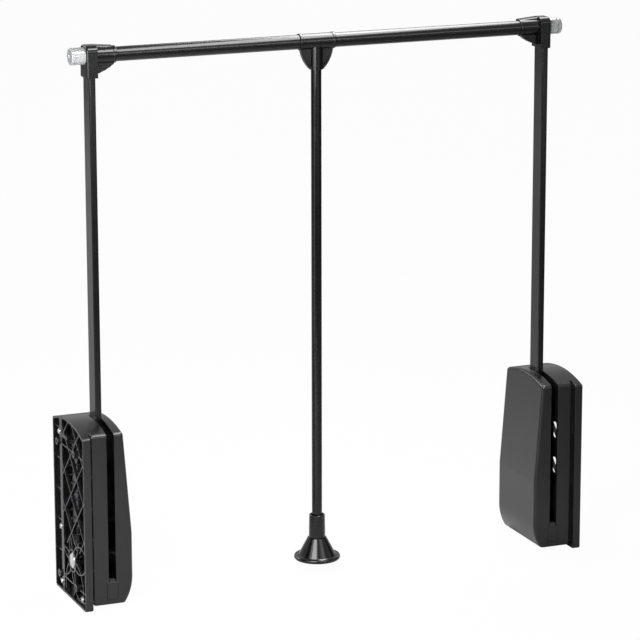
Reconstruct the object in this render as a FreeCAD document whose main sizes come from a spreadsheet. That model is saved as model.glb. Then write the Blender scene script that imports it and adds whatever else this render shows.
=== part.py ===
"""Pull-down closet rod (wardrobe lift), as a parametric FreeCAD document.

Two moulded housings screw to the side walls of a wardrobe. A flat steel arm swings in each, about one
axis along X, and the arms carry a telescopic rail across the top. A pull rod with a bell-shaped handle
hangs from a tee that turns on the rail. Each arm's foot has a crank pin that drives a plunger with a
coil spring round a damper cylinder, which lifts the frame again.

Frame: +X to the right, -Y to the front (out of the wardrobe), +Z up, origin on the floor plane under
the middle of the object. Lengths in millimetres. The left side is modelled and the right one mirrors it.
"""
import FreeCAD, Part
import math
import os

import Sketcher
from FreeCAD import Placement, Rotation, Vector

SIZES = {
    # whole object
    "overall_width": 830,        # between the two wall faces, at the shortest setting
    "rail_axis_height": 834,
    "running_gap": 0.05,         # radial clearance of everything that turns or slides
    "seat_gap": 0.3,             # clearance between parts that face each other across a joint
    # housing
    "housing_depth": 148,
    "housing_thickness": 78,
    "housing_height": 270,       # rim, at its front and rear corners
    "housing_wall": 2.6,
    "rim_width": 12,
    "rim_step": 7,               # the rim stands this proud of the body, front and rear
    "rim_drop": 6.5,             # and this far below it
    "rim_wall": 3,
    "rim_corner": 4,
    "rim_edge_round": 1,         # at the groove
    "body_edge_round": 2.5,      # at the groove
    "body_corner_round": 6,      # front and rear, at the top
    "arch_rise": 12.3,           # crown of the top over the rim's corners
    "groove_width": 3,           # round the body, behind the rim
    "groove_depth": 3.5,
    "groove_lip": 2.5,
    "groove_rib_height": 2,
    "groove_rib_inset": 0.5,     # from the body's front
    "base_depth": 39,            # wall face to the seam between base and cover
    "cover_taper": 13,           # the cover gets this much thinner at its top
    "cover_tuck": 12,            # and this much at its bottom
    "cover_full_low": 48,        # full thickness from this height
    "cover_full_high": 115,      # up to this one
    "cover_tuck_rise": 3.2,
    "cover_round": 5,
    "slot_width": 12,
    "rib_thickness": 2,
    "rib_back": 3,               # wall face to the back of the ribs
    "rib_depth": 5,
    "lattice_pitch": 60,
    "lattice_start": 104,
    "lattice_floor": 82,
    "fan_rib_top": 96,           # the curved ribs round the axle end here
    "fan_rib_radius": 43,
    "fan_ribs": 6,
    "inner_wall_offset": 24,     # rear face of the housing to the inner rear wall
    "inner_flange_width": 11,    # on the inner rear wall's edge at the wall side
    "bridge_start": 12,
    "bridge_end": 13,            # housing's corner to the top rib
    "bridge_count": 6,
    "partition_start": 36,       # wall face to the plate between the spring's side and the arm's
    "partition_rear": 13,
    "window_y": -53.5,
    "window_width": 13,
    "window_height": 26,
    "window_low_z": 138,
    "window_high_z": 196,
    "driver_hole_radius": 6,     # in the plate, for the front wall screws
    # screws that hold base and cover together
    "screw_column_radius": 4.5,
    "screw_radius": 1.75,
    "screw_head_radius": 4,
    "screw_head_height": 2.6,
    "screw_seat": 3.2,
    "screw_well_wall": 1.2,
    "screw_length": 52,
    "screw_front_inset": 17,
    "screw_low_z": 13,
    "screw_middle_z": 101,
    "screw_high_drop": 18,
    # wall mounting bosses
    "mount_hole_radius": 2.5,
    "mount_boss_radius": 6,
    "mount_boss_length": 8,
    "mount_front_inset": 49,
    "mount_low_z": 24,
    "mount_high_drop": 35,
    # pivot
    "pivot_height": 60,
    "axle_radius": 5,
    "axle_recess": 2.5,          # wall face to the axle's end
    "axle_length": 67,
    "axle_boss_radius": 13,
    "axle_ring_radius": 18,
    "washer_radius": 13.5,
    "washer_thickness": 2,
    "axle_head_radius": 11.5,
    "axle_head_height": 3,
    "axle_head_round": 1,
    "bush_radius": 8,
    # arm
    "arm_from_wall": 45,         # wall face to the arm's middle plane
    "arm_thickness": 10,
    "arm_depth": 30,
    "arm_wall": 1.5,
    "arm_corner": 2.2,
    "arm_start": 20,             # arm tube's lower end over the pivot
    "arm_top": 12,               # arm tube's upper end below the rail axis
    "foot_radius": 17,
    "foot_thickness": 9,
    "foot_tongue_top": 92,       # over the pivot
    "crank_radius": 32,
    "crank_rest_angle": 45,      # below the horizontal, at the rear
    "crank_lug_radius": 7,
    "crank_pin_radius": 3,
    "crank_pin_back": 15.5,      # wall face to the pin's end
    "rivet_radius": 3,
    "rivet_head": 0.9,
    "rivet_low": 36,
    "rivet_high": 70,
    # spring unit
    "spring_from_wall": 23,
    "wire_radius": 1.5,
    "coil_radius": 11,
    "coil_count": 15,
    "cylinder_radius": 8,
    "cylinder_bore_drop": 8,     # shelf to the bore's end
    "cylinder_low": 112,
    "cylinder_head_radius": 9.6,
    "cylinder_head_height": 2,
    "plunger_rod_radius": 3.5,
    "plunger_rod_drop": 81,      # shelf to the rod's end
    "shelf_drop": 24,            # housing's corner to the shelf
    "shelf_thickness": 6,
    "seat_thickness": 4,
    "seat_radius": 12.8,
    "collar_thickness": 3,
    "yoke_below": 9.7,           # crank pin's axis to the yoke's underside
    "yoke_above": 11.8,
    "yoke_thickness": 16,
    "yoke_wall": 3.3,
    "yoke_play": 1.5,            # over and under the pin
    # stop buffers
    "buffer_thickness": 3,
    "buffer_low_drop": 55,       # both from the housing's corner
    "buffer_high_drop": 8,
    "buffer_width": 9,
    "sill_length": 10,
    "sill_buffer_height": 3.7,
    # stop plate, let into the housing's front under the slot
    "stop_plate_width": 17.2,
    "stop_plate_low": 14,
    "stop_plate_proud": 0.7,
    "stop_plate_gap": 0.3,
    "stop_plate_flange": 2.5,
    "stop_plate_round": 0.6,
    # corner connector
    "block_thickness": 17,
    "block_depth": 33,
    "block_below": 32,
    "block_above": 16,
    "block_crown": 10,
    "block_round": 2.5,
    "arm_pocket_gap": 0.1,
    "socket_radius": 12.4,
    "socket_end": 85,            # wall face to the socket's mouth
    "mouth_radius": 13,
    "mouth_width": 5,
    "mouth_round": 0.8,
    "hood_width": 19,
    "hood_offset": 5,            # the hood's middle plane stands this far behind the rail's
    "hood_rise": 15.2,
    "hood_fall": 2.6,
    "hood_round": 3,
    "tube_seat": 58,             # wall face to the rail tube's end
    "gusset_web": 11.4,
    "gusset_lift": 4.5,          # web's foot over the block's underside
    "gusset_bulge": 2,
    "gusset_flange": 14,
    "gusset_rib": 1.6,
    "gusset_pitch": 4,
    "gusset_ribs": 4,
    "set_screw_radius": 2.5,
    "set_screw_drop": 22,
    "set_screw_length": 6,
    # bumper
    "bumper_from_wall": 15,
    "bumper_radius": 12.7,
    "bumper_cap": 6,
    "bumper_groove_width": 1.4,
    "bumper_groove_depth": 1.2,
    "bumper_round": 1.6,
    "bumper_screw_radius": 2.2,
    "bumper_screw_head": 4.4,
    "bumper_screw_head_height": 2.6,
    "bumper_screw_recess": 1,
    "bumper_screw_length": 30,
    # rail
    "rail_radius": 11,
    "rail_wall": 1,
    "inner_rail_radius": 9,
    "inner_rail_wall": 1.6,
    "inner_rail_end": 8,         # its left end to the seat of the outer tube
    "rail_bush_length": 20,
    # tee
    "tee_offset": -9,            # the tee stands this far left of the middle
    "tee_length": 58,
    "tee_radius": 11.8,
    "tee_rim_radius": 12.6,
    "tee_rim_width": 4.5,
    "tee_rim_round": 0.6,
    "tee_socket_radius": 10.2,
    "tee_socket_drop": 43,
    "tee_socket_roof": 1.6,
    "tee_wing_thickness": 8,
    "tee_wing_web": 4.4,
    "tee_wing_border": 2.4,
    "tee_wing_bulge": 4,
    "tee_screw_radius": 2,
    "tee_screw_head": 3.4,
    "tee_screw_head_height": 1.6,
    "rail_groove_depth": 0.6,
    "rail_groove_width": 4.6,
    # pull rod and bell
    "pull_rod_radius": 8,
    "pull_rod_wall": 1.2,
    "pull_rod_low": 56,
    "bell_rim_height": 15,
    "bell_rim_radius": 36.4,
    "bell_rim_thickness": 5.5,
    "bell_rim_bead": 1.2,
    "bell_brim_radius": 29.5,
    "bell_brim_height": 21,
    "bell_brim_dip": 0.8,
    "bell_neck_height": 49,
    "bell_neck_radius": 14.8,
    "bell_top_height": 86.5,
    "bell_top_radius": 12.4,
    "bell_collar_radius": 12.9,
    "bell_undercut": 1.1,
    "bell_wall": 2.6,
    "bell_recess_radius": 10.4,
    "bell_recess_depth": 3,
    "bell_ceiling": 45,
    "bell_edge_round": 0.8,
    "plug_length": 22,
    "bell_screw_radius": 2,
    "bell_screw_head": 4.5,
    "bell_screw_head_height": 3.5,
    "bell_screw_length": 24,
}

doc = FreeCAD.newDocument("WardrobeLift")
sheet = doc.addObject("Spreadsheet::Sheet", "Sizes")
for row, (alias, number) in enumerate(SIZES.items(), start=1):
    sheet.set(f"A{row}", alias)
    sheet.set(f"B{row}", str(number))
    sheet.setAlias(f"B{row}", alias)
doc.recompute()


class Formula:
    """A length and the spreadsheet formula that it comes from."""

    def __init__(self, text, value):
        self.text = text
        self.value = value

    def combine(self, sign, other, value, swap=False):
        first, second = (other, self) if swap else (self, other)
        return Formula(f"({first.text} {sign} {second.text})", value)

    def __add__(self, other):
        other = formula(other)
        return self.combine("+", other, self.value + other.value)

    def __sub__(self, other):
        other = formula(other)
        return self.combine("-", other, self.value - other.value)

    def __mul__(self, other):
        other = formula(other)
        return self.combine("*", other, self.value * other.value)

    def __truediv__(self, other):
        other = formula(other)
        return self.combine("/", other, self.value / other.value)

    def __radd__(self, other):
        return formula(other) + self

    def __rsub__(self, other):
        return formula(other) - self

    def __rmul__(self, other):
        return formula(other) * self

    def __neg__(self):
        return formula(0) - self


def formula(number):
    return number if isinstance(number, Formula) else Formula(f"({float(number)!r})", float(number))


def size(alias):
    return Formula(f"Sizes.{alias}", float(sheet.get(alias)))


def sine(angle):
    return Formula(f"sin({angle.text} * 1 deg)", math.sin(math.radians(angle.value)))


def cosine(angle):
    return Formula(f"cos({angle.text} * 1 deg)", math.cos(math.radians(angle.value)))


def root(number):
    return Formula(f"sqrt({number.text})", math.sqrt(number.value))


TURN_TO = {
    "x": Rotation(Vector(0, 1, 0), 90),
    "y": Rotation(Vector(1, 0, 0), -90),
    "z": Rotation(),
}


# ---------------------------------------------------------------- solids bound to the sheet

def bind(item, prop, length):
    item.setExpression(prop, formula(length).text)


def place(item, point, rotation=None):
    if rotation is not None:
        item.Placement = Placement(Vector(), rotation)
    for axis, coordinate in zip("xyz", point):
        bind(item, f"Placement.Base.{axis}", coordinate)
    return item


def box(name, low, high):
    """A block between two corners."""
    item = doc.addObject("Part::Box", name)
    for prop, start, end in zip(("Length", "Width", "Height"), low, high):
        bind(item, prop, formula(end) - start)
    return place(item, low)


def cylinder(name, axis, start, length, radius):
    item = doc.addObject("Part::Cylinder", name)
    bind(item, "Radius", radius)
    bind(item, "Height", length)
    return place(item, start, TURN_TO[axis])


def cone(name, axis, start, length, radius, end_radius):
    item = doc.addObject("Part::Cone", name)
    bind(item, "Radius1", radius)
    bind(item, "Radius2", end_radius)
    bind(item, "Height", length)
    return place(item, start, TURN_TO[axis])


def fuse(name, items):
    item = doc.addObject("Part::MultiFuse", name)
    item.Shapes = items
    item.Refine = True
    return item


def common(name, items):
    item = doc.addObject("Part::MultiCommon", name)
    item.Shapes = items
    return item


def cut(name, base, *tools):
    item = doc.addObject("Part::Cut", name)
    item.Base = base
    item.Tool = tools[0] if len(tools) == 1 else fuse(f"{name}_tools", list(tools))
    return item


def ring(name, axis, start, length, radius, bore):
    outside = cylinder(f"{name}_outside", axis, start, length, radius)
    inside = cylinder(f"{name}_inside", axis, start, length, bore)
    return cut(name, outside, inside)


def rounded(name, base, radius, wanted):
    """Rounds the edges of a solid for which wanted(edge) is true."""
    doc.recompute()
    item = doc.addObject("Part::Fillet", name)
    item.Base = base
    reach = formula(radius).value
    edges = enumerate(base.Shape.Edges, start=1)
    item.Edges = [(number, reach, reach) for number, edge in edges if wanted(edge)]
    return item


def runs_along(edge, axis):
    """True for a straight edge parallel to an axis."""
    if not isinstance(edge.Curve, Part.Line):
        return False
    return abs(getattr(edge.Curve.Direction, axis)) > 0.999


def lies_in(edge, axis, coordinate):
    """True for an edge that lies wholly in the plane axis = coordinate."""
    span = edge.BoundBox
    plane = formula(coordinate).value
    low = getattr(span, f"{axis.upper()}Min")
    high = getattr(span, f"{axis.upper()}Max")
    return abs(low - plane) < 0.01 and abs(high - plane) < 0.01


def is_circle(edge):
    return isinstance(edge.Curve, Part.Circle)


def outline(body, role, corners):
    """A closed sketch on an origin plane of a body. A corner is (across, up) or (across, up, rise):
    with a rise, the side that leaves the corner is an arc that stands out of the outline by the rise."""
    sketch = body.newObject("Sketcher::SketchObject", f"{body.Name}_sketch")
    plane = next(item for item in body.Origin.OriginFeatures if item.Role == role)
    sketch.AttachmentSupport = [(plane, "")]
    sketch.MapMode = "FlatFace"
    points = [Vector(formula(corner[0]).value, formula(corner[1]).value, 0) for corner in corners]
    for number, corner in enumerate(corners):
        start = points[number]
        end = points[(number + 1) % len(points)]
        if len(corner) == 2:
            sketch.addGeometry(Part.LineSegment(start, end), False)
            continue
        side = end - start
        crown = (start + end) / 2 + Vector(side.y, -side.x, 0).normalize() * formula(corner[2]).value
        sketch.addGeometry(Part.Arc(start, crown, end), False)
    for number, corner in enumerate(corners):
        following = (number + 1) % len(corners)
        start, end = corner_positions(sketch, number, points[number])
        next_start, _ = corner_positions(sketch, following, points[following])
        sketch.addConstraint(Sketcher.Constraint("Coincident", number, end, following, next_start))
        for kind, coordinate in zip(("DistanceX", "DistanceY"), corner):
            length = formula(coordinate)
            datum = sketch.addConstraint(Sketcher.Constraint(kind, -1, 1, number, start, length.value))
            sketch.setExpression(f"Constraints[{datum}]", length.text)
        if len(corner) == 3:
            radius = arc_radius(corner, corners[following])
            datum = sketch.addConstraint(Sketcher.Constraint("Radius", number, radius.value))
            sketch.setExpression(f"Constraints[{datum}]", radius.text)
    return sketch


def corner_positions(sketch, number, start):
    """Which end of a sketch's side is its start: arcs are stored anticlockwise, whatever way they run."""
    first = sketch.getPoint(number, 1)
    return (1, 2) if first.distanceToPoint(start) < 0.001 else (2, 1)


def arc_radius(corner, following):
    across = formula(following[0]) - corner[0]
    up = formula(following[1]) - corner[1]
    rise = formula(corner[2])
    radius = (across * across + up * up) / (8 * rise) + rise / 2
    return Formula(f"abs({radius.text})", abs(radius.value))


def prism(name, role, corners, start, length, midplane=False):
    """An outline padded along its plane's normal."""
    body = doc.addObject("PartDesign::Body", name)
    pad = body.newObject("PartDesign::Pad", f"{name}_pad")
    pad.Profile = outline(body, role, corners)
    pad.Midplane = midplane
    bind(pad, "Length", length)
    body.Tip = pad
    return place(body, start)


def turned(name, corners, start):
    """An outline in the XZ plane, turned about the body's own Z axis."""
    body = doc.addObject("PartDesign::Body", name)
    sketch = outline(body, "XZ_Plane", corners)
    revolution = body.newObject("PartDesign::Revolution", f"{name}_turn")
    revolution.Profile = sketch
    revolution.ReferenceAxis = (sketch, ["V_Axis"])
    revolution.Angle = 360
    body.Tip = revolution
    return place(body, start)


nodes = []


def node(item, label):
    item.Label = label
    nodes.append(item)
    return item


def left_and_right(item, name):
    """The left piece and its mirror image on the right."""
    twin = doc.addObject("Part::Mirroring", f"right_{name}")
    twin.Source = item
    twin.Normal = Vector(1, 0, 0)
    node(item, f"left_{name}")
    node(twin, f"right_{name}")


# ---------------------------------------------------------------- shared places

wall_x = -size("overall_width") / 2
depth = size("housing_depth")
height = size("housing_height")
wall = size("housing_wall")
seam = size("base_depth")
thickness = size("housing_thickness")
pivot_z = size("pivot_height")
rail_z = size("rail_axis_height")
gap = size("running_gap")
seat_gap = size("seat_gap")
arm_x = size("arm_from_wall")
slot_low = arm_x - size("slot_width") / 2
slot_high = arm_x + size("slot_width") / 2
slot_rear = size("arm_depth") / 2 + seat_gap + size("buffer_thickness")
body_front = -depth / 2 + size("rim_step")
body_rear = depth / 2 - size("rim_step")
arch_radius = depth * depth / (8 * size("arch_rise")) + size("arch_rise") / 2
body_crown = height + size("arch_rise")             # rim and body share one arch at the top
body_corner = body_crown - arch_radius + root(arch_radius * arch_radius - body_rear * body_rear)
inner_wall_y = depth / 2 - size("inner_wall_offset")
hub_low = arm_x - size("foot_thickness") / 2 - 2 * seat_gap     # the bosses face the foot's hub here
hub_high = arm_x + size("foot_thickness") / 2 + 2 * seat_gap
disc_start = size("axle_recess") + size("axle_head_height") + size("washer_thickness")
crank_y = size("crank_radius") * cosine(size("crank_rest_angle"))
crank_z = pivot_z - size("crank_radius") * sine(size("crank_rest_angle"))
spring_x = size("spring_from_wall")
spring_y = (size("crank_radius") + crank_y) / 2
collar_z = crank_z + size("yoke_above")
shelf_z = height - size("shelf_drop")
slot_floor = pivot_z - size("arm_depth") / 2 - seat_gap - size("sill_buffer_height")
stop_plate_rear = body_front + wall
tee_x = formula(size("tee_offset"))
beyond = 20                      # tools reach this far past what they cut


def at(from_wall, y, z):
    """A point given by its distance from the left wall face."""
    return (wall_x + from_wall, y, z)


def rim_block(name, inset, start, end):
    """The rim's arched outline, as a block between two distances from the wall face."""
    edge = depth / 2 - inset
    corners = [
        (-edge, inset),
        (edge, inset),
        (edge, height - inset, size("arch_rise")),
        (-edge, height - inset),
    ]
    corners = [tuple(formula(value) for value in corner) for corner in corners]
    return prism(name, "YZ_Plane", corners, at(start, 0, 0), formula(end) - start)


def soft_rim_block(name, inset, start, end):
    """The same with rounded corners."""
    block = rim_block(f"{name}_sharp", inset, start, end)
    return rounded(name, block, size("rim_corner") - inset, lambda edge: runs_along(edge, "x"))


def body_block(name, inset, start, end):
    """The housing body's arched outline, as a block between two distances from the wall face."""
    corners = [
        (body_front + inset, size("rim_drop") + inset),
        (body_rear - inset, size("rim_drop") + inset),
        (body_rear - inset, body_corner - inset, body_crown - body_corner),
        (body_front + inset, body_corner - inset),
    ]
    return prism(name, "YZ_Plane", corners, at(start, 0, 0), formula(end) - start)


def soft_body_block(name, inset, start, end):
    """The same with rounded corners at the top."""
    block = body_block(f"{name}_sharp", inset, start, end)
    return rounded(name, block, size("body_corner_round") - inset,
                   lambda edge: runs_along(edge, "x") and edge.BoundBox.ZMin > height.value / 2)


# ---------------------------------------------------------------- housing base

def rim_ring():
    outside = soft_rim_block("rim_block", formula(0), 0, size("rim_width"))
    groove_side = wall_x + size("rim_width")
    outside = rounded("rim_outside", outside, size("rim_edge_round"),
                      lambda edge: lies_in(edge, "x", groove_side))
    inside = rim_block("rim_inside", size("rim_wall"), 0, size("rim_width"))
    return cut("rim_ring", outside, inside)


def groove_rings():
    """The flange behind the rim, and the bottom of the groove."""
    flange_start = size("rim_width") - size("rim_wall")
    groove_start = size("rim_width")
    deep = size("groove_depth")
    flange = fuse("flange", [
        soft_rim_block("flange_rim", size("rim_edge_round") * 1.2, flange_start, groove_start),
        body_block("flange_body", deep, flange_start, groove_start),
    ])
    bottom = body_block("groove_bottom", deep, groove_start, groove_start + size("groove_width"))
    hollow = body_block("groove_hollow", deep + wall, 0, seam)
    return cut("groove_rings", fuse("groove_blocks", [flange, bottom]), hollow)


def body_ring():
    """The wall from the groove to the seam, with a thicker lip at the groove."""
    start = size("rim_width") + size("groove_width")
    lip_end = start + size("groove_lip")
    groove_side = wall_x + start
    outside = soft_body_block("body_block", formula(0), start, seam)
    outside = rounded("body_outside", outside, size("body_edge_round"),
                      lambda edge: lies_in(edge, "x", groove_side))
    lip_inside = body_block("lip_inside", size("groove_depth") + wall, start, seam)
    inside = body_block("body_inside", wall, lip_end, seam)
    return cut("body_ring", outside, lip_inside, inside)


def top_fill():
    """Closes the groove at the top, where the rim and the body run on into each other."""
    start = size("rim_width") - size("rim_wall")
    end = size("rim_width") + size("groove_width") + size("body_edge_round") + 1
    half = body_rear - size("body_corner_round") * 1.5
    outside = rim_block("fill_outside", formula(0), start, end)
    inside = rim_block("fill_inside", size("groove_depth") + wall / 2, start, end)
    field = box("fill_field", at(start, -half, height / 2), at(end, half, height * 2))
    return common("top_fill", [cut("fill_ring", outside, inside), field])


def bridge_heights():
    """The undersides of the ribs in the groove and at the rear, evenly spread over the housing's height."""
    count = int(size("bridge_count").value)
    pitch = (height - size("bridge_start") - size("bridge_end")) / (count - 1)
    return [size("bridge_start") + number * pitch for number in range(count)]


def groove_ribs():
    """Small ribs that bridge the groove at the front."""
    ribs = []
    for number, low in enumerate(bridge_heights()):
        ribs.append(box(
            f"groove_rib_{number}",
            at(size("rim_width") - 0.5, body_front + size("groove_rib_inset"), low),
            at(size("rim_width") + size("groove_width") + 1, body_front + size("groove_depth") + 1,
               low + size("groove_rib_height")),
        ))
    return ribs


def bridging_ribs():
    """The inner rear wall and the ribs that tie it to the housing's rear wall."""
    back = size("rib_back")
    front = seam - 2
    top = height + beyond
    flange_y = inner_wall_y - size("inner_flange_width")
    parts = [
        box("inner_rear_wall", at(back, inner_wall_y - wall, 0), at(front, inner_wall_y, top)),
        box("inner_flange", at(back, flange_y, 0), at(back + size("rib_thickness"), inner_wall_y, top)),
    ]
    for number, low in enumerate(bridge_heights()):
        parts.append(box(
            f"bridge_{number}",
            at(back, inner_wall_y - 1, low),
            at(front, depth / 2, low + size("rib_thickness")),
        ))
    return parts


def lattice():
    """Diagonal ribs in both directions, in front of the spring."""
    back = size("rib_back")
    half = depth / 2 + beyond
    bars = []
    for rising in (True, False):
        for number in range(-3, 5):
            level = size("lattice_start") + number * size("lattice_pitch")
            bar = doc.addObject("Part::Box", f"lattice_{'up' if rising else 'down'}_{number + 3}")
            bind(bar, "Length", size("rib_depth"))
            bind(bar, "Width", half * 2 * math.sqrt(2))
            bind(bar, "Height", size("rib_thickness"))
            turn = Rotation(Vector(1, 0, 0), 45 if rising else -45)
            start_z = level - half if rising else level + half
            bars.append(place(bar, at(back, -half, start_z), turn))
    field = box(
        "lattice_field",
        at(0, -depth, size("lattice_floor")),
        at(seam, inner_wall_y, height * 2),
    )
    return common("lattice", [fuse("lattice_bars", bars), field])


def fan_ribs():
    """Curved ribs that run out from the axle's ring to the walls, below the lattice."""
    back = size("rib_back")
    reach = size("fan_rib_radius")
    half_rib = size("rib_thickness") / 2
    count = int(size("fan_ribs").value)
    arcs = []
    for number in range(count):
        angle = formula(15 + 360 / count * number)
        centre = at(back, reach * cosine(angle), pivot_z + reach * sine(angle))
        arcs.append(ring(f"fan_rib_{number}", "x", centre, size("rib_depth"),
                         reach + half_rib, reach - half_rib))
    field = box("fan_field", at(0, -depth, 0), at(seam, inner_wall_y, size("fan_rib_top")))
    arcs = common("fan_ribs_trimmed", [fuse("fan_rib_arcs", arcs), field])
    eye = cylinder("fan_eye", "x", at(0, 0, pivot_z), seam, size("axle_ring_radius") - 1)
    return cut("fan_ribs", arcs, eye)


def mount_points():
    """The wall screws: two at the front, then two in the bay behind the inner rear wall."""
    for y in (-depth / 2 + size("mount_front_inset"), (inner_wall_y + body_rear - wall) / 2):
        for z in (size("mount_low_z"), height - size("mount_high_drop")):
            yield y, z


def partition():
    """The plate that keeps the spring's side apart from the arm's, with two windows."""
    start = size("partition_start")
    end = start + size("rib_thickness")
    plate = box("partition_plate", at(start, -depth, 0), at(end, size("partition_rear"), height + beyond))
    half_width = size("window_width") / 2
    half_height = size("window_height") / 2
    tools = []
    for number, z in enumerate((size("window_low_z"), size("window_high_z"))):
        window = box(f"window_{number}_sharp",
                     at(start - 1, size("window_y") - half_width, z - half_height),
                     at(end + 1, size("window_y") + half_width, z + half_height))
        tools.append(rounded(f"window_{number}", window, half_width * 0.6,
                             lambda edge: runs_along(edge, "x")))
    for number, (y, z) in enumerate(list(mount_points())[:2]):
        tools.append(cylinder(f"driver_hole_{number}", "x", at(start - 1, y, z), size("rib_thickness") + 2,
                              size("driver_hole_radius")))
    return cut("partition", plate, *tools)


def screw_points():
    yield inner_wall_y, size("screw_low_z")
    yield inner_wall_y, size("screw_middle_z")
    yield inner_wall_y, height - size("screw_high_drop")
    yield body_front + size("screw_front_inset"), size("screw_low_z")


def base_bosses():
    back = size("rib_back")
    seat = size("screw_seat")
    parts = []
    for number, (y, z) in enumerate(mount_points()):
        parts.append(cylinder(
            f"mount_boss_{number}", "x", at(0, y, z), size("mount_boss_length"), size("mount_boss_radius")))
    for number, middle in enumerate((size("mount_low_z"), height - size("mount_high_drop"))):
        parts.append(box(
            f"mount_rib_{number}",
            at(back, -depth / 2, middle - size("rib_thickness") / 2),
            at(back + size("rib_depth"), depth / 2, middle + size("rib_thickness") / 2),
        ))
    well_radius = size("screw_head_radius") + seat_gap + size("screw_well_wall")
    for number, (y, z) in enumerate(screw_points()):
        parts.append(cylinder(
            f"base_column_{number}", "x", at(seat, y, z), seam - seat, size("screw_column_radius")))
        parts.append(cylinder(
            f"screw_well_{number}", "x", at(back, y, z), seat + wall - back, well_radius))
    boss_length = hub_low - disc_start
    parts.append(cylinder("axle_boss", "x", at(disc_start, 0, pivot_z), boss_length,
                          size("axle_boss_radius")))
    parts.append(cylinder("axle_disc", "x", at(disc_start, 0, pivot_z), wall, size("axle_ring_radius")))
    parts.append(ring(
        "axle_ring", "x", at(back, 0, pivot_z), disc_start + wall - back,
        size("axle_ring_radius"), size("axle_ring_radius") - size("rib_thickness")))
    parts.append(box(
        "spring_shelf",
        at(seat, spring_y - size("seat_radius"), shelf_z),
        at(seam - 2, inner_wall_y - 1, shelf_z + size("shelf_thickness")),
    ))
    return parts


def base_holes():
    holes = []
    for number, (y, z) in enumerate(mount_points()):
        holes.append(cylinder(
            f"mount_hole_{number}", "x", at(-1, y, z), size("mount_boss_length") + 2,
            size("mount_hole_radius")))
    for number, (y, z) in enumerate(screw_points()):
        holes.append(cylinder(
            f"base_screw_hole_{number}", "x", at(0, y, z), seam + 1, size("screw_radius") + seat_gap))
        holes.append(cylinder(
            f"screw_head_well_{number}", "x", at(0, y, z), size("screw_seat"),
            size("screw_head_radius") + seat_gap))
    holes.append(stop_plate_hole("base_plate_hole"))
    holes.append(cylinder("base_axle_hole", "x", at(-1, 0, pivot_z), seam + beyond,
                          size("axle_radius") + gap))
    holes.append(cylinder(
        "shelf_hole", "z", at(spring_x, spring_y, shelf_z - 1),
        size("shelf_thickness") + 2, size("cylinder_radius") + gap))
    return holes


def housing_base():
    """The shell with its ribs and bosses, which are trimmed to the middle of the walls that they meet."""
    half_wall = wall / 2
    groove_start = size("rim_width")
    groove_end = groove_start + size("groove_width") + size("groove_lip")
    field = fuse("base_field", [
        rim_block("field_rim", size("rim_wall") / 2, 0, groove_start - 1),
        body_block("field_groove", half_wall + size("groove_depth"), groove_start - 1, groove_end - 1),
        soft_body_block("field_body", half_wall, groove_end - 1, seam),
    ])
    parts = bridging_ribs() + [lattice(), fan_ribs(), partition()] + base_bosses()
    inside = common("base_inside", [fuse("base_inside_parts", parts), field])
    rings = [rim_ring(), groove_rings(), body_ring(), top_fill()]
    shell = fuse("base_shell", rings + groove_ribs() + [inside])
    return cut("left_housing_base", shell, *base_holes())


# ---------------------------------------------------------------- housing cover

def taper_block(name, inset):
    """The cover's thickness as seen from the front: tucked in at the bottom, thinner at the top."""
    face = thickness - inset
    top = body_crown + 5
    corners = [
        (seam - 1, formula(0)),
        (face - size("cover_tuck"), formula(0)),
        (face - size("cover_tuck"), size("rim_drop") + inset, size("cover_tuck_rise")),
        (face, size("cover_full_low")),
        (face, size("cover_full_high")),
        (face - size("cover_taper"), top),
        (seam - 1, top),
    ]
    return prism(name, "XZ_Plane", corners, at(0, 0, 0), depth * 2, midplane=True)


def cover_block(name, inset, start):
    return common(name, [
        soft_body_block(f"{name}_outline", inset, start, thickness),
        taper_block(f"{name}_taper", inset),
    ])


def on_cover_face(edge):
    """True for the edges round the cover's inner face, false for the faint ones across it."""
    span = edge.BoundBox
    if span.XMin < (wall_x + seam).value + 1:
        return False
    return not (runs_along(edge, "y") and span.ZMin > size("rim_drop").value + 1)


def housing_cover():
    outside = cover_block("cover_sharp", formula(0), seam)
    outside = rounded("cover_round", outside, size("cover_round"), on_cover_face)
    hollow = cover_block("cover_hollow", wall, seam - 1)
    parts = [cylinder("cover_axle_boss", "x", at(hub_high, 0, pivot_z), thickness, size("axle_boss_radius"))]
    parts.append(box("slot_stop", at(seam, slot_rear, height - size("buffer_low_drop") - 5),
                     at(thickness, slot_rear + wall, body_crown)))
    for number, (y, z) in enumerate(screw_points()):
        parts.append(cylinder(
            f"cover_column_{number}", "x", at(seam, y, z), thickness, size("screw_column_radius")))
    inside = common("cover_inside", [fuse("cover_parts", parts), cover_block("cover_trim", wall / 2, seam)])
    slot = box("cover_slot", at(seam - 1, -depth, slot_floor), at(slot_high, slot_rear, body_crown * 2))
    holes = [stop_plate_hole("cover_plate_hole"), cylinder(
        "cover_axle_hole", "x", at(0, 0, pivot_z), size("axle_recess") + size("axle_length") + 1,
        size("axle_radius") + gap)]
    for number, (y, z) in enumerate(screw_points()):
        holes.append(cylinder(
            f"cover_screw_hole_{number}", "x", at(0, y, z), size("screw_seat") + size("screw_length") + 1,
            size("screw_radius") + gap))
    shell = fuse("cover_shell", [cut("cover_wall", outside, hollow), inside])
    return cut("left_housing_cover", shell, slot, *holes)


def stop_plate_hole(name):
    """The opening that the stop plate sits in, half in the base and half in the cover."""
    half = size("stop_plate_width") / 2 + size("stop_plate_gap")
    return box(name, at(arm_x - half, -depth, size("stop_plate_low") - size("stop_plate_gap")),
               at(arm_x + half, stop_plate_rear + 1 + seat_gap, slot_floor + size("stop_plate_gap")))


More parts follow.
